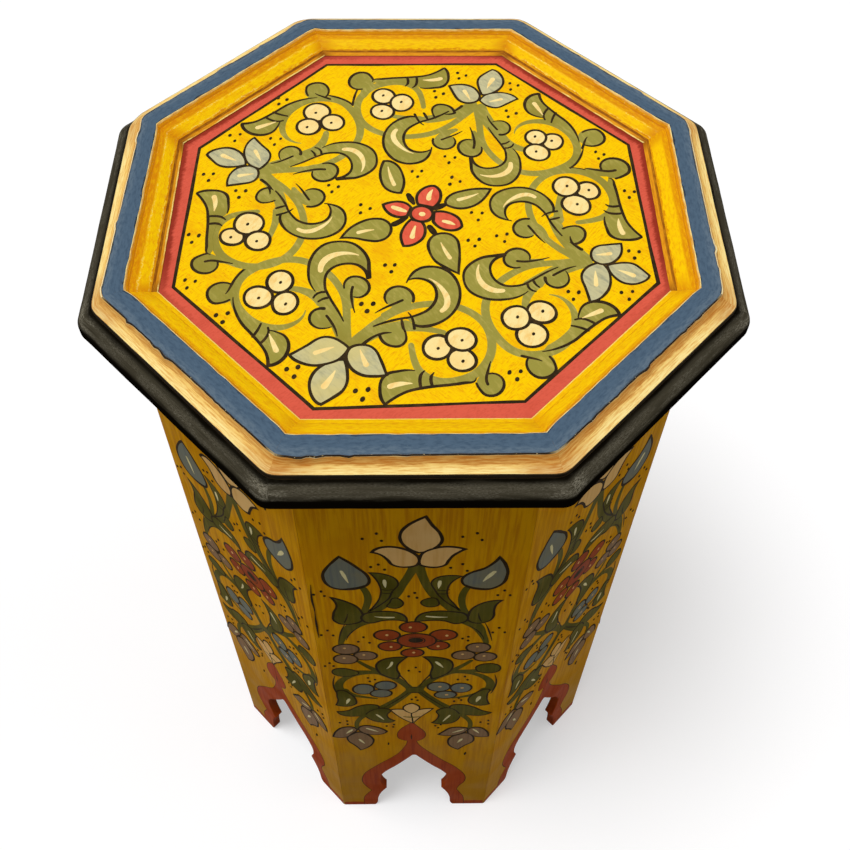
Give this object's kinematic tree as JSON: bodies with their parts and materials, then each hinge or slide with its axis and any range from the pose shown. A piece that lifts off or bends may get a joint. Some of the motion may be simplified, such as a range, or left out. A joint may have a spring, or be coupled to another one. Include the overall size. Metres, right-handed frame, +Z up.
{
  "type": "moroccan kursi stool",
  "caption": "Tall eight-sided wooden stool with painted floral side boards on arched feet, under a round-edged top board with a raised moulded frame.",
  "frame": {"origin": "on the floor, under the centre of the stool", "axes": "+Z up; -Y is the front, square to one side board; +X to the right of someone facing it"},
  "size_m": [0.2786, 0.2786, 0.5],
  "materials": {
    "top_paint": "brushed yellow paint with floral ornament, red border and black edge, satin varnish",
    "frame_paint": "slate-blue flat, cream cove with brown glaze and worn yellow inner slope, satin varnish",
    "side_paint": "ochre-yellow brushed paint with floral ornament and red-brown arch border, satin varnish",
    "raw_wood": "bare sawn softwood",
    "screw_steel": "zinc-plated"
  },
  "bodies": {
    "root": {"top_board": "top_paint", "frame_moulding_1": "frame_paint", "frame_moulding_2": "frame_paint", "frame_moulding_3": "frame_paint", "frame_moulding_4": "frame_paint", "frame_moulding_5": "frame_paint", "frame_moulding_6": "frame_paint", "frame_moulding_7": "frame_paint", "frame_moulding_8": "frame_paint", "side_board_1": "side_paint", "side_board_2": "side_paint", "side_board_3": "side_paint", "side_board_4": "side_paint", "side_board_5": "side_paint", "side_board_6": "side_paint", "side_board_7": "side_paint", "side_board_8": "side_paint", "glue_block_1": "raw_wood", "glue_block_2": "raw_wood", "glue_block_3": "raw_wood", "glue_block_4": "raw_wood", "glue_block_5": "raw_wood", "glue_block_6": "raw_wood", "glue_block_7": "raw_wood", "glue_block_8": "raw_wood", "block_screw_1": "screw_steel", "block_screw_2": "screw_steel", "block_screw_3": "screw_steel", "block_screw_4": "screw_steel", "block_screw_5": "screw_steel", "block_screw_6": "screw_steel", "block_screw_7": "screw_steel", "block_screw_8": "screw_steel"}
  },
  "joints": []
}
